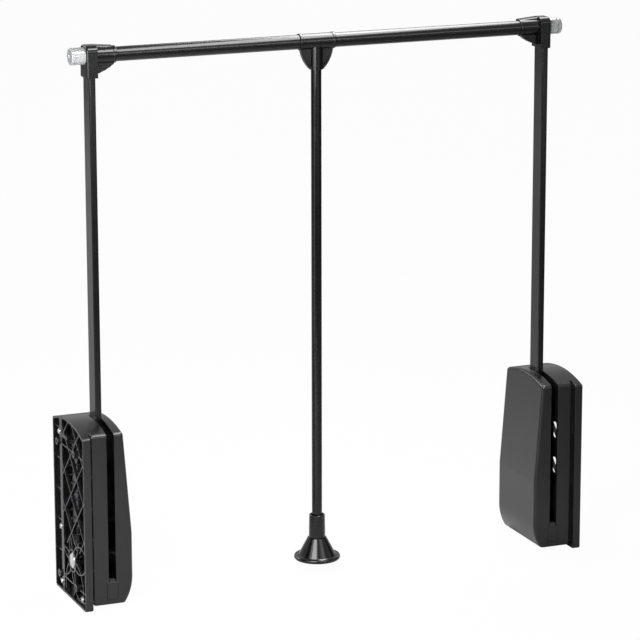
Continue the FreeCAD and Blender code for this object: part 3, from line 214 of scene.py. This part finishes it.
LOOK_OF = {
    "housing_base": "housing", "housing_cover": "housing", "housing_screws": "steel",
    "pivot_axle": "steel", "pivot_washer": "steel", "stop_plate": "housing",
    "damper_cylinder": "damper", "spring_seat": "inner", "coil_spring": "spring",
    "stop_buffers": "rubber", "plunger": "inner", "pivot_bush": "bush",
    "arm": "paint", "arm_foot": "steel", "arm_rivets": "steel", "crank_pin": "steel",
    "connector": "fitting", "connector_screw": "steel", "bumper": "clear", "bumper_screw": "steel",
    "rail_tube": "paint", "rail_bush": "bush", "rail_inner_tube": "inner_tube",
    "handle_tee": "fitting", "tee_screw": "steel", "pull_rod": "paint", "rod_plug": "inner",
    "bell_handle": "fitting", "bell_screw": "steel",
}


def dress(item, look):
    item.data.materials.clear()
    item.data.materials.append(LOOKS[look])


for node_name, item in nodes.items():
    side, _, rest = node_name.partition("_")
    dress(item, LOOK_OF[rest if side in SIGNS else node_name])


# ---------------------------------------------------------------- meshes from rings

def skin(shape, rings):
    """Faces between closed rings of corners."""
    for lower, upper in zip(rings, rings[1:]):
        for number in range(len(lower)):
            following = (number + 1) % len(lower)
            shape.faces.new((lower[number], upper[number], upper[following], lower[following]))


def fan(shape, ring, middle):
    """Faces that close a ring to a corner in its middle."""
    for number in range(len(ring)):
        shape.faces.new((middle, ring[number], ring[(number + 1) % len(ring)]))


def make_piece(name, shape, look, body, replaced):
    """A mesh object that rides on a body in place of a CAD node."""
    bmesh.ops.recalc_face_normals(shape, faces=shape.faces)
    mesh = bpy.data.meshes.new(name)
    shape.to_mesh(mesh)
    shape.free()
    mesh.materials.append(LOOKS[look])
    piece = bpy.data.objects.new(name, mesh)
    bpy.context.scene.collection.objects.link(piece)
    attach(piece, body)
    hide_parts(replaced)
    return piece


# ---------------------------------------------------------------- wall-side screws

WALL_FACE = 0.415                # from the middle
SCREW_PLACES = ((0.050, 0.013), (0.050, 0.101), (0.050, 0.252), (-0.050, 0.013))    # y and z
SCREW_SEAT = 0.0032              # from the wall face
SCREW_END = 0.0552
SCREW_POINT = 0.003              # the shank's tapered end
SHANK_RADIUS = 0.00175
HEAD_RADIUS = 0.004
HEAD_HEIGHT = 0.0026
HEAD_RIM = 0.45                  # height at the rim, as a share of the middle's
HEAD_CROWN = 2.6                 # power of the curve from the middle to the rim
RECESS_FLOOR = 0.35              # height in the cross recess, as a share of the middle's
RECESS_HALF_WIDTH = 0.16         # shares of the head's radius
RECESS_REACH = 0.55
HEAD_RINGS = 16
RING_STEPS = 56


def circle(radius):
    for number in range(RING_STEPS):
        angle = 2 * math.pi * number / RING_STEPS
        yield radius * math.cos(angle), radius * math.sin(angle)


def head_height(across, up):
    """A pan head's surface over its seat, with a cross recess."""
    short, long = sorted((abs(across), abs(up)))
    if short < RECESS_HALF_WIDTH * HEAD_RADIUS and long < RECESS_REACH * HEAD_RADIUS:
        return HEAD_HEIGHT * RECESS_FLOOR
    share = min(1.0, math.hypot(across, up) / HEAD_RADIUS)
    return HEAD_HEIGHT * (HEAD_RIM + (1 - HEAD_RIM) * math.sqrt(1 - share ** HEAD_CROWN))


def screw_rings():
    """One screw as rings of (across, up, height over the seat), from head to tip."""
    rings = []
    for step in range(1, HEAD_RINGS + 1):
        ring = circle(HEAD_RADIUS * step / HEAD_RINGS)
        rings.append([(across, up, head_height(across, up)) for across, up in ring])
    length = SCREW_END - SCREW_SEAT
    shank = ((HEAD_RADIUS, 0.0), (SHANK_RADIUS, 0.0), (SHANK_RADIUS, SCREW_POINT - length),
             (SHANK_RADIUS / 4, -length))
    for radius, height in shank:
        rings.append([(across, up, height) for across, up in circle(radius)])
    return rings


def wall_screws(side):
    """The four screws of a housing, with pan heads, in place of the plain ones."""
    shape = bmesh.new()
    for y, z in SCREW_PLACES:
        def corner(across, up, height):
            x = SIGNS[side] * (WALL_FACE - SCREW_SEAT + height)
            return shape.verts.new((x, y + across, z + up))
        rings = [[corner(*point) for point in ring] for ring in screw_rings()]
        fan(shape, rings[0], corner(0.0, 0.0, head_height(0.0, 0.0)))
        fan(shape, rings[-1], corner(0.0, 0.0, SCREW_SEAT - SCREW_END))
        skin(shape, rings)
    make_piece(f"{side}_wall_screws", shape, "screw", f"{side}_housing", f"{side}_housing_screws")


for side in SIGNS:
    wall_screws(side)


# ---------------------------------------------------------------- coil springs

SPRING_X = 0.392                 # from the middle
SPRING_Y = 0.02731
SPRING_LOW = 0.05218             # on the plunger's collar
SPRING_TOP = 0.242               # under its seat
COIL_RADIUS = 0.011
WIRE_RADIUS = 0.00149
COILS = 15
CLOSED_PITCH = 2.04 * WIRE_RADIUS    # the end coils all but touch
TURN_STEPS = 36
WIRE_STEPS = 14
TANGENT_STEP = 0.01              # turns to either side of a point


def wire_height(turns):
    """The wire's height over its lowest point, with a closed coil at each end."""
    rise = SPRING_TOP - SPRING_LOW - 2 * WIRE_RADIUS
    if turns < 1:
        return turns * CLOSED_PITCH
    if turns > COILS - 1:
        return rise - (COILS - turns) * CLOSED_PITCH
    return CLOSED_PITCH + (turns - 1) * (rise - 2 * CLOSED_PITCH) / (COILS - 2)


def wire_point(sign, turns):
    """The middle of the wire after some turns from its lower end."""
    angle = 2 * math.pi * turns
    return Vector((sign * (SPRING_X - COIL_RADIUS * math.cos(angle)),
                   SPRING_Y + COIL_RADIUS * math.sin(angle),
                   SPRING_LOW + WIRE_RADIUS + wire_height(turns)))


def coil_spring(side):
    """A spring with closed ends, riding on the housing."""
    sign = SIGNS[side]
    shape = bmesh.new()
    rings = []
    for step in range(COILS * TURN_STEPS + 1):
        turns = step / TURN_STEPS
        middle = wire_point(sign, turns)
        along = wire_point(sign, turns + TANGENT_STEP) - wire_point(sign, turns - TANGENT_STEP)
        outward = Vector((middle.x - sign * SPRING_X, middle.y - SPRING_Y, 0)).normalized()
        upward = along.cross(outward).normalized()
        ring = []
        for number in range(WIRE_STEPS):
            angle = 2 * math.pi * number / WIRE_STEPS
            ring.append(shape.verts.new(middle + WIRE_RADIUS * (math.cos(angle) * outward
                                                                + math.sin(angle) * upward)))
        rings.append(ring)
    skin(shape, rings)
    fan(shape, rings[0], shape.verts.new(wire_point(sign, 0.0)))
    fan(shape, rings[-1], shape.verts.new(wire_point(sign, COILS)))
    piece = make_piece(f"{side}_wound_spring", shape, "spring", f"{side}_housing",
                       f"{side}_coil_spring")
    piece.data.shade_smooth()
    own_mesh(piece)


for side in SIGNS:
    coil_spring(side)


# ---------------------------------------------------------------- stage

FLOOR_SIZE = 60.0
FLOOR_DROP = 0.0005              # under the lowest point
FLOOR_TONE = (0.8, 0.8, 0.8)
WHITE_TO_CAMERA = 0.97           # plain white in the floor's look; the rest is its lit tone
WHITE_IN_GLOSS = 0.5             # the world's white, as glossy faces see it
LIGHT_DOME = 0.08                # the world's strength for all other rays


def any_ray(tree, *kinds):
    """1 for a ray of one of the kinds, and 0 for others."""
    path = tree.nodes.new("ShaderNodeLightPath")
    found = path.outputs[kinds[0]]
    for kind in kinds[1:]:
        found = add(tree, "ShaderNodeMath", {0: found, 1: path.outputs[kind]},
                    operation="MAXIMUM").outputs["Value"]
    return found


def white_floor():
    """Nearly plain white to the camera, a lit pale tone to gloss, and see-through from below."""
    material = bpy.data.materials.new("pale_floor")
    material.use_nodes = True
    tree = material.node_tree
    tree.nodes.clear()
    floor = add(tree, "ShaderNodeBsdfDiffuse", {"Color": (*FLOOR_TONE, 1)})
    white = add(tree, "ShaderNodeEmission", {"Color": (1, 1, 1, 1), "Strength": 1.0})
    clear = tree.nodes.new("ShaderNodeBsdfTransparent")
    back = tree.nodes.new("ShaderNodeNewGeometry").outputs["Backfacing"]
    share = add(tree, "ShaderNodeMath", {0: any_ray(tree, "Is Camera Ray", "Is Transmission Ray"),
                                         1: WHITE_TO_CAMERA}, operation="MULTIPLY").outputs["Value"]
    shown = add(tree, "ShaderNodeMixShader", {0: share, 1: floor.outputs[0], 2: white.outputs[0]})
    sided = add(tree, "ShaderNodeMixShader", {0: back, 1: shown.outputs[0], 2: clear.outputs[0]})
    output = add(tree, "ShaderNodeOutputMaterial", {"Surface": sided.outputs[0]})
    output.is_active_output = True
    return material


def make_floor():
    mesh = bpy.data.meshes.new("floor")
    half = FLOOR_SIZE / 2
    low = cad_box[0].z - FLOOR_DROP
    corners = [(-half, -half, low), (half, -half, low), (half, half, low), (-half, half, low)]
    mesh.from_pydata(corners, [], [(0, 1, 2, 3)])
    floor = bpy.data.objects.new("floor", mesh)
    bpy.context.scene.collection.objects.link(floor)
    mesh.materials.append(white_floor())


def make_world():
    """White to the camera and through clear parts, half white in gloss, a dim dome for the rest."""
    world = bpy.data.worlds.new("studio")
    bpy.context.scene.world = world
    world.use_nodes = True
    tree = world.node_tree
    tree.nodes.clear()
    gloss = any_ray(tree, "Is Glossy Ray")
    seen = add(tree, "ShaderNodeMath", {0: gloss, 1: WHITE_IN_GLOSS,
                                        2: any_ray(tree, "Is Camera Ray", "Is Transmission Ray")},
               operation="MULTIPLY_ADD").outputs["Value"]
    dome = add(tree, "ShaderNodeBackground", {"Color": (1, 1, 1, 1), "Strength": LIGHT_DOME})
    white = add(tree, "ShaderNodeBackground", {"Color": (1, 1, 1, 1), "Strength": 1.0})
    shown = add(tree, "ShaderNodeMixShader", {0: seen, 1: dome.outputs[0], 2: white.outputs[0]})
    add(tree, "ShaderNodeOutputWorld", {"Surface": shown.outputs[0]})


def lamp(name, place, target, width, height, power, sheen_only=False):
    """A soft rectangular light in watts. A sheen_only one lights glossy reflections alone."""
    light = bpy.data.lights.new(name, "AREA")
    light.shape = "RECTANGLE"
    light.size = width
    light.size_y = height
    light.energy = power
    item = bpy.data.objects.new(name, light)
    bpy.context.scene.collection.objects.link(item)
    item.visible_camera = False
    item.visible_diffuse = not sheen_only
    item.location = place
    item.rotation_mode = "QUATERNION"
    item.rotation_quaternion = (Vector(target) - Vector(place)).to_track_quat("-Z", "Y")


MIDDLE = (cad_box[0] + cad_box[1]) / 2
LEFT = MIDDLE - Vector((0.35, 0, 0))
make_floor()
make_world()
lamp("key", (-0.85, -0.9, 0.95), LEFT, 0.8, 0.8, 23)
lamp("side", (-1.9, 2.2, 1.7), LEFT, 1.0, 1.0, 24)
lamp("front_floor", (1.5, -4.8, 1.5), (1.5, -4.8, 0.0), 1.0, 1.0, 55)
lamp("back_floor", (-1.5, 3.4, 1.5), (-1.5, 3.4, 0.0), 1.0, 1.0, 16)
lamp("back", (0.3, 0.35, 1.2), (0.15, 0.9, 0.0), 0.6, 0.6, 10)
lamp("overhead", (0.45, -0.3, 2.1), LEFT, 2.0, 0.55, 42, sheen_only=True)
lamp("front_strip", (0.6, -2.2, 1.45), LEFT, 1.6, 0.4, 5, sheen_only=True)
lamp("left_strip", (-1.3, -0.5, 0.6), MIDDLE, 0.25, 1.2, 3, sheen_only=True)


# ---------------------------------------------------------------- camera

AZIMUTH = -22.26                 # degrees, round +Z from the front
ELEVATION = 13.77
ROLL = 0.10                      # degrees, the camera clockwise
DISTANCE = 4.94
TARGET = Vector((-0.005, -0.004, 0.400))
FOCAL_PIXELS = 3200
IMAGE_WIDTH = 640
SENSOR = 36.0                    # millimetres
CLIP_NEAR = 0.1
CLIP_FAR = 100


def make_camera():
    data = bpy.data.cameras.new("camera")
    data.sensor_width = SENSOR
    data.lens = FOCAL_PIXELS / IMAGE_WIDTH * SENSOR
    data.clip_start = CLIP_NEAR
    data.clip_end = CLIP_FAR
    camera = bpy.data.objects.new("camera", data)
    bpy.context.scene.collection.objects.link(camera)
    azimuth, elevation = math.radians(AZIMUTH), math.radians(ELEVATION)
    back = Vector((math.sin(azimuth) * math.cos(elevation),
                   -math.cos(azimuth) * math.cos(elevation), math.sin(elevation)))
    camera.location = TARGET + back * DISTANCE
    turn = (-back).to_track_quat("-Z", "Y").to_matrix().to_4x4()
    roll = Matrix.Rotation(math.radians(-ROLL), 4, "Z")
    camera.matrix_world = Matrix.Translation(camera.location) @ turn @ roll
    bpy.context.scene.camera = camera


make_camera()
bpy.context.scene.view_settings.view_transform = "Standard"
bpy.context.view_layer.update()
